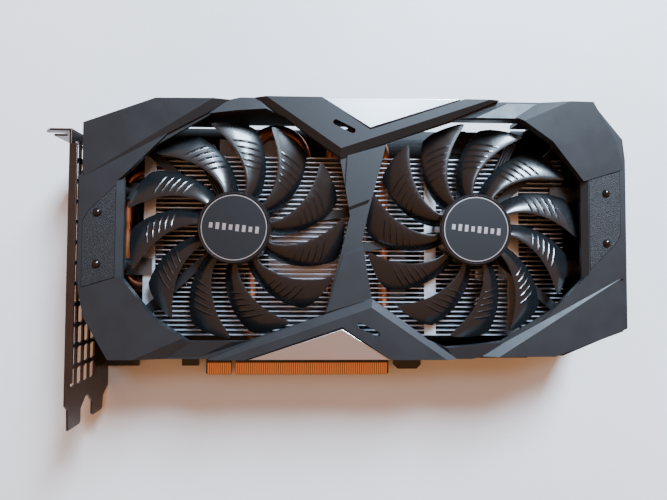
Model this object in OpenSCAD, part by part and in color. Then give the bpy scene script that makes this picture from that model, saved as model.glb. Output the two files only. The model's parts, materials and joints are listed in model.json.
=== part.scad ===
// Dual-fan graphics card lying on its back, fans up.
// x runs from the slot bracket to the far end, y from the edge contacts to the top edge.
// Every size below is measured from the bracket plane, the contact tips and the table.

/* [Card] */
// Bracket plane to far end of the shroud
card_length = 225.25; // [190:0.25:270]
// Contact tips to the shroud's top edge
shroud_top = 118.6; // [108:0.1:142]
// Contact tips to the shroud's bottom edge
shroud_bottom = 13.4; // [12:0.1:16]
// Backplate to the highest face of the shroud
card_height = 40.5; // [38:0.5:60]
// Which sub-part to show

/* [Board] */
// Table to the back face of the circuit board
board_gap = 2.6; // [2:0.1:4]
// Circuit board thickness
board_t = 1.57; // [1.2:0.01:2]
// Circuit board height from the contact tips
board_height = 111.15; // [105:0.05:130]
// Pitch of the edge contacts
contact_pitch = 1; // [0.8:0.1:1.2]

/* [Cooler] */
// Heat pipe diameter
pipe_d = 6; // [4:0.5:8]
// Fin sheet thickness
fin_t = 0.35; // [0.25:0.05:0.6]
// Fin pitch
fin_pitch = 2; // [1.6:0.1:3]
// Contact base width and depth
base_size = 44; // [36:1:50]

/* [Fans] */
// Fan diameter over the blade tips
fan_size = 90; // [70:1:110]
// Blades on each fan
blade_count = 11; // [7:1:13]
// Hub diameter
hub_d = 29.5; // [26:0.5:36]
// Shaft diameter
shaft_d = 3; // [2:0.1:4]
// Running gap around the shaft
shaft_gap = 0.03; // [0.01:0.01:0.1]

/* [Bracket] */
// Bracket sheet thickness
bracket_t = 0.9; // [0.7:0.1:1.2]
// Screw hole through each bracket tab
tab_hole_d = 2.6; // [2:0.1:3.5]

/* [Hidden] */
$fn = 48;
tiny = 0.01;
bracket_low = -15.1;
flange_out = 11.4;
mid_x = (card_length + 1.75) / 2;
mid_y = (shroud_top + shroud_bottom) / 2;
shift_x = (card_length - flange_out) / 2;
shift_y = (shroud_top + bracket_low) / 2;
board_top = board_gap + board_t;
board_length = card_length - 27.25;
gpu_x = mid_x - 15.5;
gpu_y = mid_y;
package_top = board_top + 1.6;
base_low = package_top + 0.65;
base_top = base_low + pipe_d + 1.5;
fin_top = card_height - 15.5;
fin_left = 24;
fin_right = card_length - 20.25;
fin_first = shroud_bottom + 7.6;
fin_count = floor((shroud_top - 21.6 - fin_first) / fin_pitch) + 1;
fin_last = fin_first + (fin_count - 1) * fin_pitch;
leg_low_z = base_low + pipe_d / 2;
leg_high_z = max(fin_top - 6.5, base_top + pipe_d / 2 + 1);
leg_in = pipe_d;
leg_out = pipe_d + 23;
deck_low = card_height - 4.5;
deck_top = card_height - 2.9;
fan_r = min(fan_size / 2, (card_length - 45.25) / 4, (shroud_top - shroud_bottom) / 2 - 7.6);
fan_gap = 2 * fan_r + 8.1;
fan_y = mid_y - 0.18;
fan_scale = fan_r / 45;
arm_low = fin_top + 0.5;
arm_top = arm_low + 2;
spin_low = arm_top + 1.1;
hub_top = card_height - 2;
hub_r = hub_d / 2;
hub_wall = 1.2;
yoke_t = 0.55;
magnet_t = 1.25;
coil_gap = 0.4;
magnet_in = hub_r - hub_wall - yoke_t - magnet_t;
stator_r = magnet_in - coil_gap;
bearing_r = shaft_d / 2 + 1.3;
blade_low = spin_low;
blade_top = deck_low - 1;
header_y = board_height - 7.15;
header_left = mid_x - fan_gap / 2 - 19.45;
header_right = mid_x + fan_gap / 2 + 19.45;
header_top = board_top + 6;

// Helpers

function turned(p) = [2 * mid_x - p[0], 2 * mid_y - p[1]];
function turned_all(points) = [for (p = points) turned(p)];

module place() {
    translate([-shift_x, -shift_y, 0]) children();
}

module box(low, high) {
    translate(low) cube(high - low);
}

module rod(r, low, high) {
    translate([0, 0, low]) cylinder(r = r, h = high - low);
}

module tube(r_out, r_in, low, high) {
    difference() {
        rod(r_out, low, high);
        rod(r_in, low - 1, high + 1);
    }
}

module sheet(points, low, high) {
    translate([0, 0, low]) linear_extrude(high - low) polygon(points);
}

module at_left_fan() {
    translate([mid_x - fan_gap / 2, fan_y, 0]) children();
}

module at_right_fan() {
    translate([mid_x + fan_gap / 2, fan_y, 0]) children();
}

// Removes everything above a plane that passes through spot and falls away along angle
module slope_cut(spot, height, angle, fall) {
    translate([spot[0], spot[1], height]) rotate(angle) rotate([0, fall, 0]) {
        translate([-300, -300, 0]) cube([600, 600, 60]);
    }
}

// Circuit board and what is soldered to it

finger_left = 46.45;
finger_right = 131.65;
key_x = 59.05;
board_edge = 7.5;
hook_x = 134;
cooler_hole_x = 28;
cooler_screw_d = 2.5;
back_screw_d = 2;
back_spots = [[12, 15], [12, 103], [board_length - 8, 20], [board_length - 8, 103], [100, 105], [148, 20]];
bracket_spots = [[5.5, 14], [5.5, 100.8]];
cooler_spots = [for (sx = [-1, 1], sy = [-1, 1]) [gpu_x + sx * cooler_hole_x, gpu_y + sy * cooler_hole_x]];

module pcb_outline() {
    polygon([
        [1, 4], [15.5, 4], [15.5, board_edge], [35.3, board_edge], [35.3, 4], [43, 4],
        [43, board_edge], [finger_left, board_edge], [finger_left, 0.6], [finger_left + 0.6, 0],
        [key_x - 0.95, 0], [key_x - 0.95, board_edge], [key_x + 0.95, board_edge],
        [key_x + 0.95, 0], [finger_right - 0.6, 0], [finger_right, 0.6],
        [finger_right, board_edge], [hook_x, board_edge], [hook_x, 4.4], [hook_x + 2, 2.4],
        [hook_x + 11, 2.4], [hook_x + 13, 4.4], [hook_x + 13, board_edge],
        [board_length, board_edge], [board_length, board_height - 3],
        [board_length - 3, board_height], [1, board_height]
    ]);
}

module pcb() {
    color([0.05, 0.06, 0.06]) place() difference() {
        translate([0, 0, board_gap]) linear_extrude(board_t) pcb_outline();
        for (p = cooler_spots) translate(p) rod(cooler_screw_d / 2, 0, 10);
        for (p = back_spots) translate(p) rod(back_screw_d / 2, 0, 10);
        for (p = bracket_spots) translate(p) rod(tab_hole_d / 2, 0, 10);
    }
}

module contact_row(low, high) {
    for (i = [0:10]) {
        x = key_x - 1.5 - i * contact_pitch;
        box([x - 0.38, 0.1, low], [x + 0.38, 5.3, high]);
    }
    for (i = [0:70]) {
        x = key_x + 1.5 + i * contact_pitch;
        if (x < finger_right - 0.5) box([x - 0.38, 0.1, low], [x + 0.38, 5.3, high]);
    }
}

module edge_contacts() {
    color([0.85, 0.6, 0.25]) place() {
        contact_row(board_top, board_top + 0.05);
        contact_row(board_gap - 0.05, board_gap);
    }
}

module gpu_package() {
    color([0.1, 0.25, 0.15]) place() {
        box([gpu_x - 18.75, gpu_y - 18.75, board_top], [gpu_x + 18.75, gpu_y + 18.75, package_top]);
    }
}

module gpu_die() {
    color([0.35, 0.36, 0.4]) place() {
        box([gpu_x - 8, gpu_y - 9, package_top], [gpu_x + 8, gpu_y + 9, base_low]);
    }
}

memory_spots = [
    [gpu_x - 31, gpu_y - 10], [gpu_x - 31, gpu_y + 10], [gpu_x + 31, gpu_y - 10],
    [gpu_x + 31, gpu_y + 10], [gpu_x - 11, gpu_y - 32], [gpu_x + 11, gpu_y - 32]
];

module memory_chips() {
    color([0.08, 0.08, 0.09]) place() {
        for (p = memory_spots) translate(p) box([-7, -6, board_top], [7, 6, board_top + 1.2]);
    }
}

plate_low = base_low + 0.5;
plate_top = plate_low + 1.2;
module memory_pads() {
    color([0.55, 0.6, 0.65]) place() {
        for (p = memory_spots) translate(p) box([-6, -5, board_top + 1.2], [6, 5, plate_low]);
    }
}

choke_spots = [
    for (i = [0:4]) [44, 34 + i * 13],
    for (i = [0:1]) [board_length - 38, 40 + i * 13]
];
module chokes() {
    color([0.22, 0.22, 0.24]) place() {
        for (p = choke_spots) translate(p) box([-4, -4, board_top], [4, 4, board_top + 4.2]);
    }
}

module power_chips() {
    color([0.07, 0.07, 0.08]) place() {
        for (i = [0:4]) box([51, 31 + i * 13, board_top], [56, 37 + i * 13, board_top + 1]);
        for (i = [0:1]) {
            box([board_length - 50, 37 + i * 13, board_top], [board_length - 45, 43 + i * 13, board_top + 1]);
        }
    }
}

capacitor_spots = [
    for (i = [0:5]) [34, 29 + i * 13],
    for (i = [0:3]) [board_length - 24, 34 + i * 13]
];
module capacitors() {
    color([0.75, 0.75, 0.77]) place() {
        for (p = capacitor_spots) translate(p) {
            rod(3.3, board_top, board_top + 0.8);
            rod(3.1, board_top + 0.8, board_top + 6.2);
        }
    }
}

module control_chips() {
    color([0.06, 0.06, 0.07]) place() {
        box([gpu_x + 52, 64, board_top], [gpu_x + 58, 70, board_top + 1]);
        box([86, 98, board_top], [91, 103, board_top + 1.5]);
        box([30, 16, board_top], [34, 20, board_top + 1.2]);
        box([156, 25, board_top], [161, 29, board_top + 1.2]);
        for (i = [0:13]) box([62 + i * 5, 12.5, board_top], [63.6 + i * 5, 13.3, board_top + 0.8]);
    }
}

// Eight-way power socket on the top edge, opening towards +y
socket_left = header_right - 29;
socket_width = 19;
socket_height = 9.6;
socket_back = board_height - 12;
socket_front = board_height + 1.6;
pin_pitch = 4.2;
pin_spots = [
    for (i = [0:3], k = [0:1]) [socket_left + 3.2 + i * pin_pitch, board_top + 2.7 + k * pin_pitch]
];
module power_socket() {
    color([0.05, 0.05, 0.05]) place() difference() {
        union() {
            box([socket_left, socket_back, board_top], [socket_left + socket_width, socket_front, board_top + socket_height]);
            box([socket_left + 6.5, socket_back + 3, board_top + socket_height - tiny], [socket_left + 12.5, socket_front, board_top + socket_height + 1.2]);
        }
        for (p = pin_spots) {
            box([p[0] - 1.7, socket_back + 2, p[1] - 1.7], [p[0] + 1.7, socket_front + 1, p[1] + 1.7]);
        }
        for (p = pin_spots) {
            box([p[0] - 0.4, socket_back - 1, p[1] - 0.4], [p[0] + 0.4, socket_back + 3, p[1] + 0.4]);
        }
    }
}

module power_pins() {
    color([0.8, 0.7, 0.4]) place() {
        for (p = pin_spots) {
            box([p[0] - 0.4, socket_back - 1.5, p[1] - 0.4], [p[0] + 0.4, socket_front - 2.5, p[1] + 0.4]);
            box([p[0] - 0.4, socket_back - 1.5, board_top], [p[0] + 0.4, socket_back - 0.7, p[1] + 0.4]);
        }
    }
}

// Display sockets: width along y, opening through the bracket
shell_t = 0.4;
shell_low = board_top + 0.3;
hdmi_y = 28;
port_spots = [49, 68.5, 88];
module socket_shell(y, width, height, depth) {
    difference() {
        box([-bracket_t - 0.5, y - width / 2, shell_low], [depth, y + width / 2, shell_low + height]);
        box([-bracket_t - 2, y - width / 2 + shell_t, shell_low + shell_t],
            [depth - shell_t, y + width / 2 - shell_t, shell_low + height - shell_t]);
    }
    for (s = [-1, 1]) {
        box([4, y + s * (width / 2 - 1.5) - 0.6, board_top], [8, y + s * (width / 2 - 1.5) + 0.6, shell_low + tiny]);
    }
}

module hdmi_socket() {
    color([0.72, 0.72, 0.72]) place() socket_shell(hdmi_y, 15, 6, 12);
}

module hdmi_tongue() {
    color([0.06, 0.06, 0.06]) place() {
        box([0.4, hdmi_y - 5.2, shell_low + 2.6], [12 - shell_t, hdmi_y + 5.2, shell_low + 3.9]);
    }
}

module displayport_sockets() {
    color([0.72, 0.72, 0.72]) place() {
        for (y = port_spots) socket_shell(y, 17, 6, 17);
    }
}

module displayport_tongues() {
    color([0.06, 0.06, 0.06]) place() {
        for (y = port_spots) {
            box([0.4, y - 6.6, shell_low + 2.4], [17 - shell_t, y + 6.6, shell_low + 3.6]);
        }
    }
}

// Printed sticker beside the left fan header
module board_label() {
    color([0.93, 0.94, 0.93]) place() {
        box([header_left + 6.5, board_height - 10.4, board_top], [header_left + 34.5, board_height - 1, board_top + 0.1]);
    }
}

// Two fan headers near the top edge; the leads drop straight into them
module fan_headers() {
    color([0.9, 0.88, 0.82]) place() {
        for (x = [header_left, header_right]) {
            box([x - 5, header_y - 2.2, board_top], [x + 5, header_y + 2.2, header_top]);
        }
    }
}

// Slot bracket

slot_pitch_z = 20.32;
bracket_top_y = 104.9;
bracket_face = 38.84;

function vent(y, z) = [
    [y - 3.7, z], [y - 2.9, z + 2.1], [y + 2.9, z + 2.1], [y + 3.7, z], [y + 2.9, z - 2.1], [y - 2.9, z - 2.1]
];

// Plate drawn flat as y and z, then stood up at the bracket plane
module stand_up(from, to) {
    translate([from, 0, 0]) rotate([90, 0, 90]) linear_extrude(to - from) children();
}

module bracket_face_shape() {
    difference() {
        polygon([
            [bracket_top_y, 0.3], [bracket_top_y, bracket_face], [-4.8, bracket_face],
            [-6.8, bracket_face - 2], [bracket_low, bracket_face - 2.6],
            [bracket_low, bracket_face - 11.6], [bracket_low + 1, bracket_face - 12.6],
            [-9, bracket_face - 12.6], [-5, bracket_face - 16.6], [-5, bracket_face - 19],
            [-9, bracket_face - 22.9], [bracket_low + 1, bracket_face - 22.9],
            [bracket_low, bracket_face - 23.9], [bracket_low, bracket_face - 32],
            [bracket_low + 1, bracket_face - 33], [-9, bracket_face - 33.6],
            [-5.5, 0.3]
        ]);
        for (i = [0:11], k = [0:3]) polygon(vent(5.2 + i * 8.4, 33.4 - k * 5.5));
        window(hdmi_y, 15, 6);
        for (y = port_spots) window(y, 17, 6);
    }
}

module window(y, width, height) {
    translate([y - width / 2 - 0.15, shell_low - 0.15]) square([width + 0.3, height + 0.3]);
}

module io_bracket() {
    color([0.12, 0.11, 0.11]) place() difference() {
        union() {
            stand_up(-bracket_t, 0) bracket_face_shape();
            // flange for the case screws
            box([-flange_out, bracket_top_y - bracket_t, bracket_face - 38], [0, bracket_top_y, bracket_face]);
            // stiffening lip along the fan side
            box([-tiny, 4, bracket_face - bracket_t], [2.2, 99, bracket_face]);
            // tabs that screw down on the board
            for (p = bracket_spots) {
                box([-tiny, p[1] - 3.8, board_top], [9, p[1] + 3.8, board_top + 0.9]);
            }
        }
        // screw notches, one for each slot
        for (k = [0:1]) {
            z = bracket_face - 6.2 - k * slot_pitch_z;
            translate([-7, bracket_top_y + 1, z]) rotate([90, 0, 0]) cylinder(d = 4.4, h = 4);
            box([-flange_out - 1, bracket_top_y - 3, z - 2.2], [-7, bracket_top_y + 1, z + 2.2]);
        }
        // clipped outer corners of the flange
        translate([-flange_out, bracket_top_y - 3, bracket_face]) rotate([0, 45, 0]) cube([4, 6, 4], center = true);
        for (p = bracket_spots) translate(p) rod(tab_hole_d / 2, 0, 10);
    }
}

module bracket_screws() {
    color([0.15, 0.15, 0.16]) place() {
        for (p = bracket_spots) translate(p) difference() {
            union() {
                rod(tab_hole_d / 2, board_gap - 0.6, board_top + 0.9 + tiny);
                rod(2.3, board_top + 0.9, board_top + 2.3);
            }
            for (a = [0, 90]) rotate(a) box([-1.5, -0.3, board_top + 1.6], [1.5, 0.3, board_top + 3]);
        }
    }
}

// Heatsink

module contact_base() {
    color([0.78, 0.79, 0.8]) place() difference() {
        box([gpu_x - base_size / 2, gpu_y - base_size / 2, base_low], [gpu_x + base_size / 2, gpu_y + base_size / 2, base_top]);
        for (s = [-1, 1]) {
            translate([gpu_x + s * leg_in, gpu_y - 60, leg_low_z]) rotate([-90, 0, 0]) cylinder(d = pipe_d, h = 120);
        }
        for (s = [-1, 1]) {
            x = gpu_x + s * leg_in;
            box([x - pipe_d / 2, gpu_y - 60, base_low - 1], [x + pipe_d / 2, gpu_y + 60, leg_low_z]);
        }
    }
}

module memory_plate() {
    color([0.2, 0.2, 0.21]) place() difference() {
        union() {
            box([gpu_x - 41, gpu_y - 40, plate_low], [gpu_x + 41, gpu_y + 31, plate_top]);
            for (p = cooler_spots) translate(p) rod(2.8, board_top, plate_low + tiny);
        }
        box([gpu_x - base_size / 2, gpu_y - base_size / 2, 0], [gpu_x + base_size / 2, gpu_y + base_size / 2, 20]);
        for (p = cooler_spots) translate(p) rod(cooler_screw_d / 2, 0, 30);
        // room for the pipes on both sides of the base
        box([gpu_x - leg_in - pipe_d / 2 - 0.3, gpu_y - base_size / 2 - 8, 0],
            [gpu_x + leg_in + pipe_d / 2 + 0.3, gpu_y + 60, 20]);
    }
}

// One heat pipe: low leg in the base, round bend outside the fins, high leg through the fins
pipe_turn_y = fin_last + 2;
pipe_dx = leg_out - leg_in;
pipe_dz = leg_high_z - leg_low_z;
pipe_bend_r = sqrt(pipe_dx * pipe_dx + pipe_dz * pipe_dz) / 2;
pipe_tilt = atan2(pipe_dz, pipe_dx);
// Straight leg with a pinched and sealed tip
module pipe_leg(x, start, z) {
    translate([x, start, z]) rotate([-90, 0, 0]) {
        cylinder(d = pipe_d, h = pipe_turn_y - start + 0.3);
        translate([0, 0, -4]) cylinder(d1 = pipe_d * 0.4, d2 = pipe_d, h = 4);
    }
}

module heat_pipe(side) {
    pipe_leg(gpu_x + side * leg_in, gpu_y - base_size / 2 - 3, leg_low_z);
    pipe_leg(gpu_x + side * leg_out, fin_first - 1.5, leg_high_z);
    // the bend is drawn a hair thinner so that it enters the legs
    translate([gpu_x + side * (leg_in + leg_out) / 2, pipe_turn_y, (leg_low_z + leg_high_z) / 2])
        rotate([0, -side * pipe_tilt, 0])
        rotate_extrude(angle = 180, $fn = 64) translate([pipe_bend_r, 0]) circle(d = pipe_d - 0.1);
}

module heat_pipes() {
    color([0.75, 0.4, 0.22]) place() {
        heat_pipe(-1);
        heat_pipe(1);
    }
}

// Third pipe: runs outside the fins at the bracket end, both ends bent into them
end_pipe_x = 15.2;
end_pipe_z = min(leg_high_z + 1.2, fin_top - 2.3 - pipe_d / 2);
end_bend_r = 7;
end_pipe_y = [mid_y - 24, mid_y + 25];
module end_pipe() {
    color([0.75, 0.4, 0.22]) place() translate([0, 0, end_pipe_z]) {
        translate([end_pipe_x, end_pipe_y[0] + end_bend_r - 0.3, 0]) rotate([-90, 0, 0]) {
            cylinder(d = pipe_d, h = end_pipe_y[1] - end_pipe_y[0] - 2 * end_bend_r + 0.6);
        }
        for (y = end_pipe_y) translate([end_pipe_x + end_bend_r - 0.3, y, 0]) rotate([0, 90, 0]) cylinder(d = pipe_d, h = 12);
        translate([end_pipe_x + end_bend_r, end_pipe_y[0] + end_bend_r, 0]) rotate(180) end_bend();
        translate([end_pipe_x + end_bend_r, end_pipe_y[1] - end_bend_r, 0]) rotate(90) end_bend();
    }
}

module end_bend() {
    rotate_extrude(angle = 90, $fn = 64) translate([end_bend_r, 0]) circle(d = pipe_d - 0.1);
}

// Folded tabs at these places lock each fin to the next
tab_spots = [fin_left, mid_x + 30.6, fin_right - 24.5];
module fin_stack() {
    color([0.7, 0.7, 0.72]) place() difference() {
        union() {
            for (i = [0:fin_count - 1]) {
                y = fin_first + i * fin_pitch;
                box([fin_left, y, base_top], [fin_right, y + fin_t, fin_top]);
            }
            for (i = [0:fin_count - 2], x = tab_spots) {
                y = fin_first + i * fin_pitch;
                box([x, y + fin_t - tiny, fin_top - fin_t], [x + 5, y + fin_pitch + tiny, fin_top]);
                box([x, y + fin_t - tiny, base_top], [x + 5, y + fin_pitch + tiny, base_top + fin_t]);
            }
        }
        for (s = [-1, 1]) {
            translate([gpu_x + s * leg_out, fin_first - 5, leg_high_z]) rotate([-90, 0, 0]) cylinder(d = pipe_d, h = fin_last - fin_first + 10);
        }
        for (y = end_pipe_y) {
            translate([end_pipe_x, y, end_pipe_z]) rotate([0, 90, 0]) cylinder(d = pipe_d, h = end_bend_r + 11.7);
        }
    }
}

module cooler_screws() {
    color([0.6, 0.6, 0.62]) place() {
        for (p = cooler_spots) translate(p) difference() {
            union() {
                rod(cooler_screw_d / 2, 1.3, plate_top);
                rod(2.6, 0.35, 1.3 + tiny);
            }
            for (a = [0, 90]) rotate(a) box([-1.6, -0.3, 0], [1.6, 0.3, 0.8]);
        }
    }
}

module cooler_washers() {
    color([0.5, 0.5, 0.5]) place() {
        for (p = cooler_spots) translate(p) tube(2.3, cooler_screw_d / 2, 1.3 + tiny, board_gap);
    }
}

// Backplate

back_t = 1.2;
module backplate() {
    color([0.08, 0.08, 0.09]) place() difference() {
        union() {
            sheet([
                [3, 18], [18, 12], [card_length - 24, 12], [card_length - 1, 26], [card_length - 1, top - 24],
                [card_length - 14, top - 1.5], [board_length - 6, top - 1.5], [board_length - 8, board_height - 1],
                [board_length - 40, board_height - 1], [board_length - 42, top - 2.5], [35, top - 2.5],
                [5, 106.5], [3, 104]
            ], 0, back_t);
            for (p = back_spots) translate(p) rod(2.6, back_t - tiny, board_gap);
        }
        for (p = back_spots) translate(p) {
            rod(back_screw_d / 2, -1, 10);
            rod(2.1, -1, 0.8);
        }
        for (p = cooler_spots) translate(p) rod(4, -1, 5);
        for (p = bracket_spots) translate(p) rod(3.4, -1, 5);
        // slanted air slots near the far end
        for (i = [0:6]) {
            x = card_length - 74 + i * 7;
            sheet([[x, 40], [x + 3, 40], [x + 15, 76], [x + 12, 76]], -1, 5);
        }
    }
}

module backplate_screws() {
    color([0.2, 0.2, 0.21]) place() {
        for (p = back_spots) translate(p) difference() {
            union() {
                rod(back_screw_d / 2, 0.8 - tiny, board_top + 1.2);
                rod(2, 0.1, 0.8);
            }
            for (a = [0, 90]) rotate(a) box([-1.3, -0.25, -1], [1.3, 0.25, 0.45]);
        }
    }
}

// Shroud

skin = 1.8;
skirt_low = board_top + 10;
wall_low = board_top + 0.6;
right = card_length;
top = shroud_top;
low = shroud_bottom;
outer_edge = [
    [16, low], [6, low + 16.6], [3.5, mid_y - 25.5], [3, mid_y - 22], [3, mid_y + 20],
    [4.3, mid_y + 24], [4.3, top - 11.1], [33, top - 1.1], [62, top - 1.1], [66.5, top],
    [right - 13.25, top], [right - 1, top - 15], [right, top - 23.6],
    [right, low + 12.1], [right - 27, low + 1.1], [right - 60, low + 1.1], [right - 64.75, low]
];
inner_edge = [
    [17.1, low + skin], [7.7, low + 17.2], [5.3, mid_y - 25.2], [4.8, mid_y - 21.8],
    [4.8, mid_y + 19.7], [6.1, mid_y + 23.7], [6.1, top - 12.4], [33.3, top - 2.9],
    [61.6, top - 2.9], [66.1, top - skin], [right - 14.1, top - skin],
    [right - 2.7, top - 15.6], [right - skin, top - 23.8], [right - skin, low + 13.3],
    [right - 27.4, low + 2.9], [right - 59.7, low + 2.9], [right - 64.4, low + skin]
];

// Opening over the left fan, measured from the hub; the right one is the same, turned half round
fan_opening = [for (p = [
    [-44.4, -19.8], [-46.6, -19.8], [-46.6, 18.4], [-44.4, 20.2], [-31.4, 33.2], [-10.4, 45.7], [0.6, 47.2], [12.6, 48.2],
    [19.6, 45.2], [42.6, 28.2], [46.6, 5.2], [43.6, -7.8], [36.6, -34.8], [5.6, -45.3],
    [-17.4, -45.3], [-31.4, -35.8]
]) p * fan_scale];

module openings(from, to) {
    at_left_fan() sheet(fan_opening, from, to);
    translate([2 * mid_x, 2 * mid_y, 0]) rotate(180) at_left_fan() sheet(fan_opening, from, to);
}

module both_ends() {
    children();
    translate([2 * mid_x, 2 * mid_y, 0]) rotate(180) children();
}

// Arms of the fan frames land on these posts
corner_posts = [[-42.4, 37.2] * fan_scale, [-41, -37] * fan_scale];
waist_post = 8;
post_hole_d = 2.2;
strap_spots = [[16, mid_y - 16], [16, mid_y + 16]];
strap_hole_d = 2.2;
pin_d = 2.4;
pin_at = [[10.5, mid_y + 5.5], [10.5, mid_y - 15]];

vee_top = [
    [mid_x - 36.5, top], [mid_x - 9, mid_y + 33.8], [mid_x - 4.5, mid_y + 32.5],
    [mid_x + 36.5, top - 6.1], [mid_x + 50.5, top]
];
vee_foot = [
    [mid_x - 41, top], [mid_x - 29.5, top - 8.1], [mid_x - 6, mid_y + 28.3],
    [mid_x + 36.5, top - 9.1], [mid_x + 58.5, top]
];

// Raised frame across the top edge with a slope down to the fans
module vee_frame() {
    difference() {
        sheet(vee_foot, deck_low + 1, card_height);
        slope_cut(vee_top[2], card_height, -71.2, 35);
        slope_cut(vee_top[1], card_height, -124.4, 35);
    }
}

frame_top = card_height - 2.1;
panel_low = deck_top;
panel_top = card_height - 1.9;
panel_edge = [
    [4.8, mid_y - 24.1], [17.5, mid_y - 20.3], [17.5, mid_y + 16.4], [7, mid_y + 6], [4.8, mid_y + 2]
];
panel_seat = [
    [4.6, mid_y - 24.4], [17.7, mid_y - 20.5], [17.7, mid_y + 16.9], [6.9, mid_y + 6.2], [4.6, mid_y + 2.1]
];

module shroud_half() {
    // low corner facet: rises outwards, steps down to the link beside it
    difference() {
        sheet([[16, low], [37, low], [55, low + 8], [20, mid_y - 19.8], [3.4, mid_y - 25], [6, low + 16.6]],
            deck_low + 1, card_height);
        slope_cut([4, mid_y - 25], panel_top, 135, 2.5);
        slope_cut([46, low + 4.6], card_height - 2.3, -68, 30);
    }
    // link under the low facet, falling towards the edge
    difference() {
        sheet([[28, low], [55, low], [73, low + 8.2], [46, low + 8.2]], deck_low + 1, card_height);
        slope_cut([60, low + 7.2], card_height - 1.5, -90, 12);
        slope_cut([59, low + 4.3], card_height - 2.2, -72, 35);
    }
    // high corner facet: steps down along one straight edge
    difference() {
        sheet([[5, mid_y + 20], [62.5, top - 1.6], [62, top - 1.1], [33, top - 1.1], [4.3, top - 11.1], [4.3, mid_y + 24]],
            deck_low + 1, card_height);
        slope_cut([54, top - 4], card_height - 0.2, 208, 1.9);
        slope_cut([37, mid_y + 37.3], frame_top, -61.7, 30);
    }
    // link beside the high facet
    difference() {
        sheet([[53, top - 8], [62, top - 1.1], [66.5, top], [76, top], [84, top - 8]], deck_low + 1, card_height);
        slope_cut([68, top - 5], card_height - 1.3, 90, 10);
        slope_cut([76.5, top - 3.3], card_height - 1.9, 47, 35);
    }
    // end frame around the side panel, with the strip beside the opening
    difference() {
        sheet([
            [3, mid_y - 22], [3.8, mid_y - 26.2], [18, mid_y - 22], [18, mid_y + 18.4], [20, mid_y + 20],
            [38, mid_y + 38], [5, mid_y + 20.2], [3, mid_y + 20]
        ], deck_low + 1, frame_top);
        sheet(panel_seat, deck_top, card_height);
    }
    vee_frame();
    // waist half, its inner end cut on a slant
    difference() {
        sheet([[mid_x - 5, mid_y + 6.3], [mid_x - 3.6, mid_y + 29.4], [mid_x + 12, mid_y + 34], [mid_x + 5, mid_y + 10.2]],
            deck_low + 1, card_height - 2);
        slope_cut([mid_x, mid_y + 9.6], card_height - 2, -69, 35);
    }
}

// Slanted rail between the side panel and the fan opening
module opening_rail() {
    difference() {
        at_left_fan() sheet([[-46.9, -20.1], [-44.4, -20.1], [-44.4, 20.4], [-46.9, 18.2]] * fan_scale, deck_low - 1, frame_top);
        slope_cut([mid_x - fan_gap / 2 - 46.6 * fan_scale, mid_y], frame_top, 0, 42);
    }
}

module fan_shroud() {
    color([0.2, 0.215, 0.235]) place() difference() {
        union() {
            difference() {
                union() {
                    sheet(outer_edge, wall_low, deck_top);
                    // past the board the end wall reaches down to the backplate
                    intersection() {
                        sheet(outer_edge, back_t + 0.3, wall_low + 1);
                        box([board_length + 1, low - 1, 0], [right + 1, top + 1, 20]);
                    }
                    both_ends() shroud_half();
                }
                openings(deck_low - 20, card_height + 1);
                sheet(inner_edge, -1, deck_low);
                // low gaps: the power plug and hot air pass here, the sockets sit at the bracket end
                both_ends() box([right - 97, top - 5, -1], [right - 35.2, top + 5, skirt_low]);
                box([-1, low - 1, -1], [20, mid_y + 40, skirt_low]);
            }
            both_ends() opening_rail();
            at_left_fan() for (p = corner_posts) translate(p) rod(3, arm_top, deck_low + 1);
            translate([2 * mid_x, 2 * mid_y, 0]) rotate(180) at_left_fan() {
                for (p = corner_posts) translate(p) rod(3, arm_top, deck_low + 1);
            }
            for (s = [-1, 1]) translate([mid_x, mid_y + s * waist_post]) rod(2.3, arm_top, deck_low + 1);
            both_ends() for (p = strap_spots) translate(p) rod(2.6, fin_top + 1, deck_low + 1);
        }
        at_left_fan() for (p = corner_posts) translate(p) rod(post_hole_d / 2, 0, arm_top + 5);
        translate([2 * mid_x, 2 * mid_y, 0]) rotate(180) at_left_fan() {
            for (p = corner_posts) translate(p) rod(post_hole_d / 2, 0, arm_top + 5);
        }
        for (s = [-1, 1]) translate([mid_x, mid_y + s * waist_post]) rod(post_hole_d / 2, 0, arm_top + 5);
        both_ends() for (p = strap_spots) translate(p) rod(strap_hole_d / 2, 0, fin_top + 7);
        both_ends() for (p = pin_at) translate(p) rod(pin_d / 2, 0, card_height + 5);
        // seats for the accent plates, and a slot through each frame
        both_ends() {
            sheet([[mid_x - 15.5, top + 1], [mid_x + 5.5, mid_y + 39.6], [mid_x + 47, top + 1]],
                card_height - 1.6, card_height + 1);
            translate([mid_x - 5, mid_y + 40.8, 0]) rotate(-26) {
                box([-3.8, -1.1, deck_low - 1], [3.8, 1.1, card_height + 1]);
                for (s = [-1, 1]) translate([s * 3.8, 0]) rod(1.1, deck_low - 1, card_height + 1);
            }
        }
    }
}

module accent() {
    sheet([[mid_x - 14, top], [mid_x + 5.5, mid_y + 40.5], [mid_x + 42.5, top]], card_height - 1.6, card_height - 0.6);
}

module top_accent() {
    color([0.82, 0.83, 0.85]) place() accent();
}

module bottom_accent() {
    color([0.62, 0.6, 0.6]) place() translate([2 * mid_x, 2 * mid_y, 0]) rotate(180) accent();
}

module side_panel() {
    difference() {
        sheet(panel_edge, panel_low, panel_top);
        for (p = pin_at) translate(p) rod(pin_d / 2, 0, card_height + 5);
    }
}

module left_panel() {
    color([0.13, 0.14, 0.15]) place() side_panel();
}

module right_panel() {
    color([0.13, 0.14, 0.15]) place() translate([2 * mid_x, 2 * mid_y, 0]) rotate(180) side_panel();
}

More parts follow.
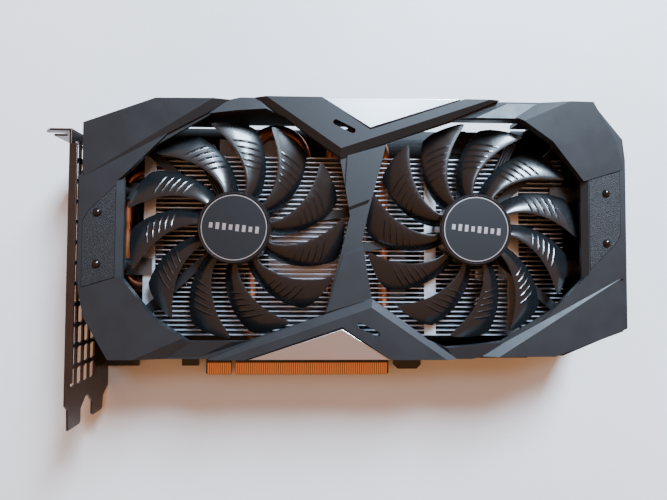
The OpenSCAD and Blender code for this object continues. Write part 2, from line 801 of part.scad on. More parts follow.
module panel_pins() {
    color([0.04, 0.04, 0.045]) place() both_ends() for (p = pin_at) translate(p) {
        rod(pin_d / 2, deck_low, panel_top + tiny);
        intersection() {
            translate([0, 0, panel_top - 0.6]) sphere(r = 1.8);
            rod(2, panel_top, panel_top + 2);
        }
    }
}

// Four straps soldered on the fin ends carry the shroud
module shroud_straps() {
    color([0.5, 0.5, 0.52]) place() both_ends() for (p = strap_spots) difference() {
        box([p[0] - 3.5, p[1] - 3.5, fin_top], [fin_left + 4, p[1] + 3.5, fin_top + 1]);
        translate(p) rod(strap_hole_d / 2, 0, 60);
    }
}

module shroud_screws() {
    color([0.15, 0.15, 0.16]) place() both_ends() for (p = strap_spots) translate(p) difference() {
        union() {
            rod(strap_hole_d / 2, fin_top - tiny, fin_top + 6.5);
            rod(2.2, fin_top - 1.4, fin_top);
        }
        for (a = [0, 90]) rotate(a) box([-1.4, -0.3, fin_top - 2], [1.4, 0.3, fin_top - 0.8]);
    }
}

// Fan parts; the left fan is drawn at its own hub, the right one is turned half round

frame_eye_r = 3.6;
module arm_to(p) {
    length = norm(p);
    rotate(atan2(p[1], p[0])) box([hub_r - 1.5, -1.8, arm_low + 0.2], [length - 2.9, 1.8, arm_top - 0.2]);
    translate(p) rod(frame_eye_r, arm_low, arm_top);
}

module fan_frame(posts, mouth) {
    difference() {
        union() {
            rotate_extrude($fn = 96) polygon([
                [0, arm_low], [hub_r - 0.4, arm_low], [hub_r - 0.4, arm_top + 0.3],
                [stator_r + 0.6, arm_top + 0.3], [stator_r + 0.6, arm_low + 1.5],
                [bearing_r + 1.2, arm_low + 1.5], [bearing_r + 1.2, arm_low + 7],
                [bearing_r, arm_low + 7], [bearing_r, arm_low + 1.2], [0, arm_low + 1.2]
            ]);
            for (p = posts) arm_to(p);
        }
        for (p = posts) translate(p) {
            rod(post_hole_d / 2, 0, 60);
            rod(2.3, 0, arm_low + 0.9);
        }
        // mouth for the leads
        rotate(mouth) box([stator_r - 0.5, -2.6, arm_low + 1.5], [hub_r + 2, 2.6, arm_low + 4]);
    }
}

lead_angle = atan2(header_y - fan_y, -19.45);
left_posts = [corner_posts[0], corner_posts[1], [fan_gap / 2, waist_post + mid_y - fan_y]];
right_posts = [for (p = left_posts) [-p[0], 2 * (mid_y - fan_y) - p[1]]];

module left_fan_frame() {
    color([0.07, 0.07, 0.075]) place() at_left_fan() fan_frame(left_posts, lead_angle);
}

module right_fan_frame() {
    color([0.07, 0.07, 0.075]) place() at_right_fan() fan_frame(right_posts, 180 - lead_angle);
}

module frame_screw() {
    difference() {
        union() {
            rod(post_hole_d / 2, arm_low + 0.8, arm_top + 4.6);
            rod(2.2, arm_low, arm_low + 0.9);
        }
        for (a = [0, 90]) rotate(a) box([-1.3, -0.25, arm_low - 1], [1.3, 0.25, arm_low + 0.4]);
    }
}

module fan_frame_screws() {
    color([0.3, 0.3, 0.32]) place() {
        at_left_fan() for (p = left_posts) translate(p) frame_screw();
        at_right_fan() for (p = right_posts) translate(p) frame_screw();
    }
}

module motor_board() {
    tube(stator_r, bearing_r + 1.2, arm_low + 1.5, arm_low + 2.3);
}

module bearing() {
    tube(bearing_r, shaft_d / 2 + shaft_gap, arm_low + 1.2, arm_low + 7);
}

pole_in = bearing_r + 1.2;
coil_low = arm_low + 2.3;
coil_high = arm_low + 7;
module stator() {
    tube(pole_in + 1.3, pole_in, coil_low + 1, coil_high - 1);
    for (a = [45:90:315]) rotate(a) {
        box([pole_in + 1, -1.1, coil_low + 1], [stator_r - 0.8, 1.1, coil_high - 1]);
        intersection() {
            tube(stator_r, stator_r - 1, coil_low + 1, coil_high - 1);
            box([0, -4.4, 0], [20, 4.4, 60]);
        }
    }
}

module coils() {
    for (a = [45:90:315]) rotate(a) difference() {
        box([pole_in + 1.5, -2, coil_low + 0.2], [stator_r - 1.3, 2, coil_high - 0.2]);
        box([0, -1.1, coil_low + 1], [20, 1.1, coil_high - 1]);
    }
}

// Four leads run out under the blades and drop into the header
lead_r = 0.45;
module leads() {
    drop_at = norm([19.45, header_y - fan_y]);
    lead_z = arm_low + 1.95;
    rotate(lead_angle) for (i = [-1.5:1:1.5]) translate([0, i, 0]) {
        translate([stator_r + 0.1, 0, lead_z]) rotate([0, 90, 0]) cylinder(r = lead_r, h = drop_at - stator_r - 0.1, $fn = 24);
        translate([drop_at, 0, lead_z]) sphere(r = lead_r, $fn = 24);
        translate([drop_at, 0, header_top]) cylinder(r = lead_r, h = lead_z - header_top, $fn = 24);
    }
}

// Blade: points from root to tip, swept towards the leading edge
blade_steps = 7;
chord_steps = 4;
root_r = hub_r - 0.8;
function sweep(r) = 27 * pow(max(0, r / fan_scale - 17) / 28, 1.2);
function half_chord(r) = 9.6 + 1.5 * min(1, max(0, r / fan_scale - 17) / 20);
function reach(u) = fan_r - 0.7 + 0.7 * u;
function rise(r) = (blade_top - blade_low) * (0.86 - 0.06 * (r - root_r) / (fan_r - root_r));
function blade_point(i, j, side) = let (
    u = 2 * j / chord_steps - 1,
    r = root_r + (reach(u) - root_r) * i / blade_steps,
    a = sweep(r) + u * half_chord(r),
    z = (blade_low + blade_top) / 2 + u * rise(r) / 2 - 0.5 * u * u * 0.6 + side * 0.4
) [r * cos(a), r * sin(a), z];

function grid(i, j, k) = k * (blade_steps + 1) * (chord_steps + 1) + i * (chord_steps + 1) + j;
blade_faces = concat(
    [for (i = [0:blade_steps - 1], j = [0:chord_steps - 1]) [grid(i, j, 1), grid(i, j + 1, 1), grid(i + 1, j + 1, 1)]],
    [for (i = [0:blade_steps - 1], j = [0:chord_steps - 1]) [grid(i, j, 1), grid(i + 1, j + 1, 1), grid(i + 1, j, 1)]],
    [for (i = [0:blade_steps - 1], j = [0:chord_steps - 1]) [grid(i, j, 0), grid(i + 1, j + 1, 0), grid(i, j + 1, 0)]],
    [for (i = [0:blade_steps - 1], j = [0:chord_steps - 1]) [grid(i, j, 0), grid(i + 1, j, 0), grid(i + 1, j + 1, 0)]],
    [for (i = [0:blade_steps - 1]) [grid(i, 0, 1), grid(i + 1, 0, 1), grid(i + 1, 0, 0)]],
    [for (i = [0:blade_steps - 1]) [grid(i, 0, 1), grid(i + 1, 0, 0), grid(i, 0, 0)]],
    [for (i = [0:blade_steps - 1]) [grid(i, chord_steps, 1), grid(i + 1, chord_steps, 0), grid(i + 1, chord_steps, 1)]],
    [for (i = [0:blade_steps - 1]) [grid(i, chord_steps, 1), grid(i, chord_steps, 0), grid(i + 1, chord_steps, 0)]],
    [for (j = [0:chord_steps - 1]) [grid(0, j, 1), grid(0, j + 1, 0), grid(0, j + 1, 1)]],
    [for (j = [0:chord_steps - 1]) [grid(0, j, 1), grid(0, j, 0), grid(0, j + 1, 0)]],
    [for (j = [0:chord_steps - 1]) [grid(blade_steps, j, 1), grid(blade_steps, j + 1, 1), grid(blade_steps, j + 1, 0)]],
    [for (j = [0:chord_steps - 1]) [grid(blade_steps, j, 1), grid(blade_steps, j + 1, 0), grid(blade_steps, j, 0)]]
);

module blade() {
    points = [
        for (k = [0:1], i = [0:blade_steps], j = [0:chord_steps]) blade_point(i, j, k == 1 ? 1 : -1)
    ];
    polyhedron(points, blade_faces);
}

module rotor(first_angle) {
    difference() {
        rod(hub_r, spin_low, hub_top);
        rod(hub_r - hub_wall, 0, hub_top - 1.6);
        rod(hub_r - 1.3, hub_top - 0.4, hub_top + 1);
    }
    tube(shaft_d / 2 + 2, shaft_d / 2, arm_low + 7.5, hub_top - 1.6 + tiny);
    for (i = [0:blade_count - 1]) rotate(first_angle + i * 360 / blade_count) blade();
}

module hub_label() {
    rod(hub_r - 1.35, hub_top - 0.4, hub_top - 0.15);
}

module yoke() {
    tube(hub_r - hub_wall, hub_r - hub_wall - yoke_t, spin_low, hub_top - 1.6);
}

module magnet() {
    tube(hub_r - hub_wall - yoke_t, magnet_in, spin_low + 0.2, coil_high);
}

module shaft() {
    rod(shaft_d / 2, arm_low + 1.3, hub_top - 1.6);
}

module left_motor_board() {
    color([0.1, 0.3, 0.15]) place() at_left_fan() motor_board();
}
module right_motor_board() {
    color([0.1, 0.3, 0.15]) place() at_right_fan() motor_board();
}
module left_bearing() {
    color([0.7, 0.55, 0.3]) place() at_left_fan() bearing();
}
module right_bearing() {
    color([0.7, 0.55, 0.3]) place() at_right_fan() bearing();
}
module left_stator() {
    color([0.45, 0.45, 0.48]) place() at_left_fan() stator();
}
module right_stator() {
    color([0.45, 0.45, 0.48]) place() at_right_fan() stator();
}
module left_coils() {
    color([0.75, 0.38, 0.2]) place() at_left_fan() coils();
}
module right_coils() {
    color([0.75, 0.38, 0.2]) place() at_right_fan() coils();
}
module left_fan_leads() {
    color([0.05, 0.05, 0.05]) place() at_left_fan() leads();
}
module right_fan_leads() {
    color([0.05, 0.05, 0.05]) place() at_right_fan() mirror([1, 0, 0]) leads();
}
module left_rotor() {
    color([0.06, 0.065, 0.07]) place() at_left_fan() rotor(34.5);
}
module right_rotor() {
    color([0.06, 0.065, 0.07]) place() at_right_fan() mirror([1, 0, 0]) rotor(180 - 65.6);
}
module left_hub_label() {
    color([0.2, 0.2, 0.22]) place() at_left_fan() hub_label();
}
module right_hub_label() {
    color([0.2, 0.2, 0.22]) place() at_right_fan() hub_label();
}
module left_yoke() {
    color([0.5, 0.5, 0.52]) place() at_left_fan() yoke();
}
module right_yoke() {
    color([0.5, 0.5, 0.52]) place() at_right_fan() yoke();
}
module left_magnet() {
    color([0.15, 0.14, 0.14]) place() at_left_fan() magnet();
}
module right_magnet() {
    color([0.15, 0.14, 0.14]) place() at_right_fan() magnet();
}
module left_shaft() {
    color([0.8, 0.8, 0.82]) place() at_left_fan() shaft();
}
module right_shaft() {
    color([0.8, 0.8, 0.82]) place() at_right_fan() shaft();
}

pcb();
edge_contacts();
gpu_package();
gpu_die();
memory_chips();
memory_pads();
chokes();
power_chips();
capacitors();
control_chips();
power_socket();
power_pins();
hdmi_socket();
hdmi_tongue();
displayport_sockets();
displayport_tongues();
fan_headers();
io_bracket();
bracket_screws();
board_label();
contact_base();
memory_plate();
heat_pipes();
end_pipe();
fin_stack();
cooler_screws();
cooler_washers();
backplate();
backplate_screws();
fan_shroud();
top_accent();
bottom_accent();
left_panel();
right_panel();
panel_pins();
shroud_straps();
shroud_screws();
left_fan_frame();
right_fan_frame();
fan_frame_screws();
left_motor_board();
right_motor_board();
left_bearing();
right_bearing();
left_stator();
right_stator();
left_coils();
right_coils();
left_fan_leads();
right_fan_leads();
left_rotor();
right_rotor();
left_hub_label();
right_hub_label();
left_yoke();
right_yoke();
left_magnet();
right_magnet();
left_shaft();
right_shaft();
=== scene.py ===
"""Looks of a dual-fan graphics card lying on its back on a pale table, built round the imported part."""

import json
import math

import bmesh
import bpy
import numpy as np
from mathutils import Matrix, Vector


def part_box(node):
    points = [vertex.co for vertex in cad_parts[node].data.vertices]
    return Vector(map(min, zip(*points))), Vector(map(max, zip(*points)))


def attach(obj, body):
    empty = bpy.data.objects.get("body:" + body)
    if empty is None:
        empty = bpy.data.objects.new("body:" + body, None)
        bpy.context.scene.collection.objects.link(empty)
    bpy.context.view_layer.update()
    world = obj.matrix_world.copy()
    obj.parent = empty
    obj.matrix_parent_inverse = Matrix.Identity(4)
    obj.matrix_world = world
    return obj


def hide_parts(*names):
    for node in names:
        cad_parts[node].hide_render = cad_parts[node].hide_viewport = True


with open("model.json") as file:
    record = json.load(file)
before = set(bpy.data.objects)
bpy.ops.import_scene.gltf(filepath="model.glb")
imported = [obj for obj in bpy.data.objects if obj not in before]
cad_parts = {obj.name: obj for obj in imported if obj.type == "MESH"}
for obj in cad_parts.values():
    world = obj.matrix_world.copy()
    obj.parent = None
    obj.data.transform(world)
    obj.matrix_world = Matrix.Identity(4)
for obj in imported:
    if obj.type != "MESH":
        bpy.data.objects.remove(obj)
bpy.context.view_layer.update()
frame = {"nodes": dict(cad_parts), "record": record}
MM = 0.001

# Sizes of the fans in millimetres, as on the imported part
BLADES = 11
HUB_RADIUS = 14.75
BLADE_ROOT = 14.0
FAN_RADIUS = 45.0
BLADE_HEIGHT = 6.3
LABEL_RADIUS = 13.35
RIM_STEPS = 240
# Blade rib: first radius, pitch, height and half width
RIB_FIRST, RIB_PITCH, RIB_HEIGHT, RIB_WIDTH = 26.4, 2.55, 0.26, 0.27
# Turn of the first blade on each rotor, in degrees; the right rotor is a mirror image
LEFT_TURN = 34.5
RIGHT_TURN = 180 - 65.6


# Colour and node helpers

def colour(code):
    """sRGB hex code to the linear values a shader socket takes."""
    out = []
    for i in (0, 2, 4):
        c = int(code[i:i + 2], 16) / 255
        out.append(c / 12.92 if c <= 0.04045 else ((c + 0.055) / 1.055) ** 2.4)
    return (*out, 1.0)


def add(tree, kind, values=None, **settings):
    """Adds a node; settings are its properties and values its input sockets."""
    node = tree.nodes.new(kind)
    for key, value in settings.items():
        setattr(node, key, value)
    for key, value in (values or {}).items():
        node.inputs[key].default_value = value
    return node


def surface(name, code, roughness, metallic=0.0, coat=0.0, specular=0.5):
    """A Principled surface with uniform values set on its sockets."""
    mat = bpy.data.materials.new(name)
    mat.use_nodes = True
    tree = mat.node_tree
    shader = tree.nodes["Principled BSDF"]
    shader.inputs["Base Color"].default_value = colour(code)
    shader.inputs["Roughness"].default_value = roughness
    shader.inputs["Metallic"].default_value = metallic
    shader.inputs["Coat Weight"].default_value = coat
    shader.inputs["Coat Roughness"].default_value = 0.08
    shader.inputs["Specular IOR Level"].default_value = specular
    return mat, tree, shader


def millimetres(tree, stretch=(1, 1, 1)):
    """Object coordinates counted in millimetres."""
    place = add(tree, "ShaderNodeTexCoord")
    scale = add(tree, "ShaderNodeMapping")
    scale.inputs["Scale"].default_value = tuple(1000 * s for s in stretch)
    tree.links.new(place.outputs["Object"], scale.inputs["Vector"])
    return scale.outputs["Vector"]


def grain(tree, shader, size_mm, depth_mm, stretch=(1, 1, 1), detail=3.0):
    """Fine bumps of a given size and depth."""
    noise = add(tree, "ShaderNodeTexNoise", {"Scale": 1 / size_mm, "Detail": detail})
    bump = add(tree, "ShaderNodeBump", {"Strength": 1.0, "Distance": depth_mm * MM})
    tree.links.new(millimetres(tree, stretch), noise.inputs["Vector"])
    tree.links.new(noise.outputs["Fac"], bump.inputs["Height"])
    tree.links.new(bump.outputs["Normal"], shader.inputs["Normal"])
    return noise


def uneven(tree, shader, socket, low, high, size_mm, detail=4.0):
    """Lets one value drift between low and high over patches of a given size."""
    noise = add(tree, "ShaderNodeTexNoise", {"Scale": 1 / size_mm, "Detail": detail})
    spread = add(tree, "ShaderNodeMapRange",
                 {"From Min": 0.3, "From Max": 0.7, "To Min": low, "To Max": high})
    tree.links.new(millimetres(tree), noise.inputs["Vector"])
    tree.links.new(noise.outputs["Fac"], spread.inputs["Value"])
    tree.links.new(spread.outputs["Result"], shader.inputs[socket])


def tinted(tree, shader, low, high, size_mm, detail=4.0):
    """Lets the colour drift between two hex codes over patches of a given size."""
    noise = add(tree, "ShaderNodeTexNoise", {"Scale": 1 / size_mm, "Detail": detail})
    ramp = add(tree, "ShaderNodeValToRGB")
    ramp.color_ramp.elements[0].position = 0.35
    ramp.color_ramp.elements[1].position = 0.65
    ramp.color_ramp.elements[0].color = colour(low)
    ramp.color_ramp.elements[1].color = colour(high)
    tree.links.new(millimetres(tree), noise.inputs["Vector"])
    tree.links.new(noise.outputs["Fac"], ramp.inputs["Fac"])
    tree.links.new(ramp.outputs["Color"], shader.inputs["Base Color"])


# Materials

def shroud_plastic():
    """Charcoal moulded plastic: a soft sheen with a very fine spark-eroded grain."""
    mat, tree, shader = surface("charcoal_moulded_plastic", "1a1d20", 0.44, specular=0.4)
    uneven(tree, shader, "Roughness", 0.42, 0.52, 9)
    grain(tree, shader, 0.45, 0.03)
    return mat


def leather_grain():
    """Charcoal plastic with a leather grain: small pebbles that break the highlight."""
    mat, tree, shader = surface("grained_charcoal_plastic", "141618", 0.5, specular=0.36)
    cells = add(tree, "ShaderNodeTexVoronoi", {"Scale": 1 / 0.42}, feature="DISTANCE_TO_EDGE")
    fine = add(tree, "ShaderNodeTexNoise", {"Scale": 1 / 0.35, "Detail": 3.0})
    total = add(tree, "ShaderNodeMath", operation="ADD")
    bump = add(tree, "ShaderNodeBump", {"Strength": 1.0, "Distance": 0.2 * MM})
    place = millimetres(tree)
    tree.links.new(place, cells.inputs["Vector"])
    tree.links.new(place, fine.inputs["Vector"])
    tree.links.new(cells.outputs["Distance"], total.inputs[0])
    tree.links.new(fine.outputs["Fac"], total.inputs[1])
    tree.links.new(total.outputs[0], bump.inputs["Height"])
    tree.links.new(bump.outputs["Normal"], shader.inputs["Normal"])
    return mat


def blade_plastic():
    """Black glossy moulding: near-black with long soft window reflections."""
    mat, tree, shader = surface("glossy_black_plastic", "101214", 0.25, coat=0.3)
    uneven(tree, shader, "Roughness", 0.22, 0.32, 6)
    return mat


def satin_silver():
    """Silver painted trim: an even satin metal that mirrors the window broadly."""
    mat, tree, shader = surface("satin_silver_paint", "c9cbd0", 0.26, metallic=0.95)
    grain(tree, shader, 0.12, 0.002)
    return mat


def fin_sheet():
    """Bare rolled aluminium: bright, with faint patches of differing roughness."""
    mat, tree, shader = surface("rolled_aluminium", "d4dae2", 0.42, metallic=0.8)
    uneven(tree, shader, "Roughness", 0.36, 0.5, 3)
    return mat


def pipe_metal():
    """Bare copper, slightly browned."""
    mat, tree, shader = surface("bare_copper", "c47c58", 0.32, metallic=1.0)
    tinted(tree, shader, "b06e4c", "d08c66", 5)
    return mat


def bracket_metal():
    """Black nickel-plated steel: dark brown mirror-like sheet."""
    mat, tree, shader = surface("black_nickel_steel", "4a4340", 0.3, metallic=0.9)
    uneven(tree, shader, "Roughness", 0.26, 0.38, 8)
    return mat


def gold():
    """Thin gold plating on the edge contacts."""
    mat, tree, shader = surface("gold_plating", "f6b27e", 0.32, metallic=1.0)
    return mat


def solder_mask():
    """Black solder mask over copper tracks: satin, with faint raised tracks."""
    mat, tree, shader = surface("black_solder_mask", "17191b", 0.35, coat=0.3)
    bricks = add(tree, "ShaderNodeTexBrick", {
        "Scale": 1.0, "Mortar Size": 0.12, "Brick Width": 5.0, "Row Height": 0.7, "Mortar Smooth": 0.3,
        "Color1": colour("17191b"), "Color2": colour("1c1f21"), "Mortar": colour("0e1011")})
    bump = add(tree, "ShaderNodeBump", {"Strength": 0.6, "Distance": 0.04 * MM})
    place = millimetres(tree)
    tree.links.new(place, bricks.inputs["Vector"])
    tree.links.new(bricks.outputs["Color"], shader.inputs["Base Color"])
    tree.links.new(bricks.outputs["Fac"], bump.inputs["Height"])
    tree.links.new(bump.outputs["Normal"], shader.inputs["Normal"])
    return mat


def plain(name, code, roughness, metallic=0.0, grain_mm=None):
    """A simple even material with an optional fine grain."""
    mat, tree, shader = surface(name, code, roughness, metallic)
    if grain_mm:
        grain(tree, shader, grain_mm, grain_mm * 0.06)
    return mat


def table_top():
    """Pale painted table: almost white, with faint smudges, specks and a soft sheen."""
    mat, tree, shader = surface("pale_painted_table", "e2e0de", 0.5, specular=0.4)
    place = millimetres(tree)
    broad = add(tree, "ShaderNodeTexNoise", {"Scale": 1 / 140, "Detail": 5.0, "Roughness": 0.6})
    specks = add(tree, "ShaderNodeTexVoronoi", {"Scale": 1 / 38}, feature="F1")
    dot = add(tree, "ShaderNodeMapRange",
              {"From Min": 0.02, "From Max": 0.035, "To Min": 0.55, "To Max": 1.0})
    ramp = add(tree, "ShaderNodeValToRGB")
    ramp.color_ramp.elements[0].position = 0.3
    ramp.color_ramp.elements[1].position = 0.7
    ramp.color_ramp.elements[0].color = colour("dcdad7")
    ramp.color_ramp.elements[1].color = colour("e8e7e5")
    mix = add(tree, "ShaderNodeMixRGB", {"Color2": colour("8d857c"), "Fac": 0.0})
    flip = add(tree, "ShaderNodeMath", {0: 1.0}, operation="SUBTRACT")
    tree.links.new(place, broad.inputs["Vector"])
    tree.links.new(place, specks.inputs["Vector"])
    tree.links.new(broad.outputs["Fac"], ramp.inputs["Fac"])
    tree.links.new(specks.outputs["Distance"], dot.inputs["Value"])
    tree.links.new(dot.outputs["Result"], flip.inputs[1])
    tree.links.new(flip.outputs[0], mix.inputs["Fac"])
    tree.links.new(ramp.outputs["Color"], mix.inputs["Color1"])
    tree.links.new(mix.outputs["Color"], shader.inputs["Base Color"])
    bump = add(tree, "ShaderNodeBump", {"Strength": 0.4, "Distance": 0.3 * MM})
    tree.links.new(broad.outputs["Fac"], bump.inputs["Height"])
    tree.links.new(bump.outputs["Normal"], shader.inputs["Normal"])
    return mat


MATERIALS = {
    "solder_mask_board": solder_mask(),
    "edge_contacts": gold(),
    "gold_plating": gold(),
    "chip_substrate": plain("green_chip_substrate", "2f4a36", 0.5),
    "silicon": plain("polished_silicon", "5a5c66", 0.15, 0.6),
    "chip_resin": plain("black_chip_resin", "1b1b1d", 0.55, grain_mm=0.3),
    "thermal_pad": plain("grey_silicone_pad", "8d949c", 0.8, grain_mm=0.5),
    "choke_ferrite": plain("pressed_ferrite", "3c3c3f", 0.6, grain_mm=0.3),
    "can_aluminium": plain("bright_can_aluminium", "cfcfd2", 0.25, 1.0),
    "socket_nylon": plain("black_nylon", "141415", 0.5, grain_mm=0.3),
    "tin_pins": plain("tin_plate", "cbbf98", 0.3, 1.0),
    "shell_steel": plain("nickel_shell_steel", "b9b7b2", 0.28, 1.0),
    "header_nylon": plain("cream_nylon", "d9d4c6", 0.5),
    "bracket_steel": bracket_metal(),
    "black_screws": plain("black_zinc_screws", "232326", 0.35, 0.8),
    "base_aluminium": plain("machined_aluminium", "c2c3c6", 0.35, 1.0),
    "plate_steel": plain("pressed_steel", "6f7074", 0.4, 1.0),
    "pipe_copper": pipe_metal(),
    "fin_aluminium": fin_sheet(),
    "steel_screws": plain("zinc_steel_screws", "a9aaae", 0.3, 1.0),
    "backplate_metal": plain("matt_black_backplate", "1d1e20", 0.5, 0.3, grain_mm=0.2),
    "shroud_plastic": shroud_plastic(),
    "accent_silver": satin_silver(),
    "grained_plastic": leather_grain(),
    "pin_plastic": plain("gloss_black_pins", "0c0c0d", 0.12),
    "frame_plastic": plain("black_frame_plastic", "121214", 0.45, grain_mm=0.3),
    "motor_board": plain("green_motor_board", "24513a", 0.45),
    "bearing_bronze": plain("sintered_bronze", "9c7b46", 0.4, 1.0),
    "stator_steel": plain("stamped_steel", "7a7b80", 0.38, 1.0),
    "winding_copper": plain("enamelled_copper", "a5522b", 0.3, 0.9),
    "lead_insulation": plain("black_lead_insulation", "0f0f10", 0.45),
    "rotor_plastic": blade_plastic(),
    "label_paper": plain("white_label_paper", "e2e4e3", 0.6),
    "hub_label": surface("printed_label_plastic", "131417", 0.5, specular=0.3)[0],
    "magnet_ferrite": plain("bonded_ferrite", "2b2a2a", 0.6),
    "shaft_steel": plain("polished_shaft_steel", "d0d0d4", 0.12, 1.0),
}
ring_silver = plain("label_ring_silver", "b9bbc0", 0.35, 0.9)

slot_of = {s["node"]: s["material_slot"] for s in frame["record"]["subparts"]}
for name, node in frame["nodes"].items():
    node.data.materials.clear()
    node.data.materials.append(MATERIALS[slot_of[name]])


def body_of(node):
    """The moving or fixed body a CAD node belongs to."""
    for body, members in frame["record"]["behaviour"]["bodies"].items():
        if node in members:
            return body


def finish_piece(piece, node):
    """Links a piece into the scene, attaches it to the body of its CAD node and hides that node."""
    bpy.context.scene.collection.objects.link(piece)
    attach(piece, body_of(node))
    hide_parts(node)
    return piece


def softened(node, width_mm, angle=25, segments=2):
    """The moulded or pressed piece with its sharp edges rounded."""
    mesh = frame["nodes"][node].data.copy()
    mesh.name = node + "_rounded"
    work = bmesh.new()
    work.from_mesh(mesh)
    bmesh.ops.remove_doubles(work, verts=work.verts, dist=2e-6)
    bmesh.ops.dissolve_limit(work, angle_limit=math.radians(0.6), verts=work.verts, edges=work.edges)
    limit = math.radians(angle)
    sharp = [e for e in work.edges if len(e.link_faces) == 2 and e.calc_face_angle(0) > limit]
    rounded = bmesh.ops.bevel(
        work, geom=sharp, offset=width_mm * MM, offset_type="OFFSET", segments=segments,
        profile=0.6, affect="EDGES", clamp_overlap=True, harden_normals=False)
    for face in work.faces:
        face.smooth = False
    for face in rounded["faces"]:
        face.smooth = True
    for edge in work.edges:
        edge.smooth = all(face.smooth for face in edge.link_faces)
    work.to_mesh(mesh)
    work.free()
    piece = bpy.data.objects.new(node + "_looks", mesh)
    return finish_piece(piece, node)


# Fans

joints = {j["child"]: Vector(j["pos_m"]) for j in frame["record"]["behaviour"]["joints"]}


def blade_surface(low_z, high_z, radius, root, across=18):
    """Top and underside points of one swept blade with five fine raised ribs, in millimetres."""
    # close rows of points where the ribs are, wide ones elsewhere
    inner, ribbed, outer = np.linspace(root, 25, 9), np.linspace(25, 38.4, 72), np.linspace(38.4, radius, 13)
    r_line = np.concatenate([inner[:-1], ribbed, outer[1:]])
    s = ((r_line - root) / (radius - root))[:, None]
    u = np.linspace(-1, 1, across + 1)[None, :]
    # the tip follows the fan's circle and is rounded at both corners
    tip = radius - 0.5 + 0.5 * u
    tip = tip - 0.9 * np.clip(-u - 0.5, 0, 1) ** 2 / 0.25 - 0.5 * np.clip(u - 0.8, 0, 1) ** 2 / 0.04
    r = root + (tip - root) * s
    sweep = 27 * (np.clip(r - 17, 0, None) / 28) ** 1.2
    half = 9.6 + 1.5 * np.clip((r - 17) / 20, 0, 1) - 1.2 * np.clip((r - 42.5) / 2.5, 0, 1) ** 2
    angle = np.radians(sweep + u * half)
    middle = (low_z + high_z) / 2 - 0.35
    rise = (high_z - low_z) * (0.8 - 0.1 * (r - root) / (radius - root))
    spine = middle + u * rise / 2 + 1.0 * (1 - u ** 2) * np.clip(1.25 - s, 0, 1)
    thick = 0.35 + 0.75 * np.clip(1 - u ** 2, 0, 1) ** 0.6
    rib = np.zeros_like(r)
    fade = np.clip((0.66 - np.abs(u - 0.02)) / 0.1, 0, 1)
    for k in range(5):
        at = RIB_FIRST + RIB_PITCH * k
        rib += RIB_HEIGHT * np.exp(-((r - at) / RIB_WIDTH) ** 2) * fade
    top = spine + thick / 2 + rib
    under = spine - thick / 2
    x, y = r * np.cos(angle), r * np.sin(angle)
    return np.stack([x, y, top], -1), np.stack([x, y, under], -1)


def closed_sheet(top, under):
    """Vertices and faces of a thin solid between two point grids of the same shape."""
    n, m = top.shape[:2]
    verts = np.concatenate([top.reshape(-1, 3), under.reshape(-1, 3)])
    faces = []
    lower = n * m
    for i in range(n - 1):
        for j in range(m - 1):
            a, b, c, d = i * m + j, i * m + j + 1, (i + 1) * m + j + 1, (i + 1) * m + j
            faces.append((a, d, c, b))
            faces.append((lower + a, lower + b, lower + c, lower + d))
    ring = [j for j in range(m)] + [i * m + m - 1 for i in range(1, n)]
    ring += [(n - 1) * m + j for j in range(m - 2, -1, -1)] + [i * m for i in range(n - 2, 0, -1)]
    for k, a in enumerate(ring):
        b = ring[(k + 1) % len(ring)]
        faces.append((a, b, lower + b, lower + a))
    return verts, faces


def turned_profile(profile, count=144):
    """Vertices and faces of a closed profile turned once round the axis."""
    verts, faces = [], []
    for i in range(count):
        a = 2 * math.pi * i / count
        for k, (r, z, wave) in enumerate(profile):
            rr = r - (wave if i % 2 else 0)
            verts.append((rr * math.cos(a), rr * math.sin(a), z))
    n = len(profile)
    for i in range(count):
        j = (i + 1) % count
        for k in range(n):
            l = (k + 1) % n
            faces.append((i * n + k, j * n + k, j * n + l, i * n + l))
    return verts, faces


def rotor(side, first_angle, mirrored):
    """One moulding: a hub with a milled rim and swept blades."""
    node = side + "_rotor"
    hub = joints[side + "_fan"]
    low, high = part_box(node)
    low_z, top_z = low.z / MM, high.z / MM
    hub_r = HUB_RADIUS
    profile = [
        (13.55, low_z, 0), (hub_r, low_z, 0), (hub_r, top_z - 1.5, 0), (hub_r, top_z - 1.4, 0.22),
        (hub_r, top_z - 0.5, 0.22), (hub_r - 0.5, top_z, 0.1), (13.75, top_z, 0), (13.45, top_z - 0.4, 0),
        (1.5, top_z - 0.4, 0), (1.5, top_z - 4.4, 0), (3.5, top_z - 4.4, 0), (3.5, top_z - 1.6, 0),
        (13.55, top_z - 1.6, 0),
    ]
    verts, faces = turned_profile(profile, RIM_STEPS)
    verts = [Vector(v) for v in verts]
    top, under = blade_surface(low_z, low_z + BLADE_HEIGHT, FAN_RADIUS, BLADE_ROOT)
    blade_verts, blade_faces = closed_sheet(top, under)
    for k in range(BLADES):
        a = math.radians(first_angle + 360 / BLADES * k)
        turn = Matrix.Rotation(a, 3, "Z")
        start = len(verts)
        verts += [turn @ Vector(v) for v in blade_verts]
        faces += [tuple(start + i for i in f) for f in blade_faces]
    if mirrored:
        verts = [Vector((-v.x, v.y, v.z)) for v in verts]
        faces = [tuple(reversed(f)) for f in faces]
    place = [Vector((v.x * MM + hub.x, v.y * MM + hub.y, v.z * MM)) for v in verts]
    mesh = bpy.data.meshes.new(node + "_moulding")
    mesh.from_pydata(place, [], faces)
    mesh.validate()
    for face in mesh.polygons:
        face.use_smooth = True
    mesh.set_sharp_from_angle(angle=math.radians(38))
    mesh.materials.append(MATERIALS["rotor_plastic"])
    return finish_piece(bpy.data.objects.new(node + "_looks", mesh), node)


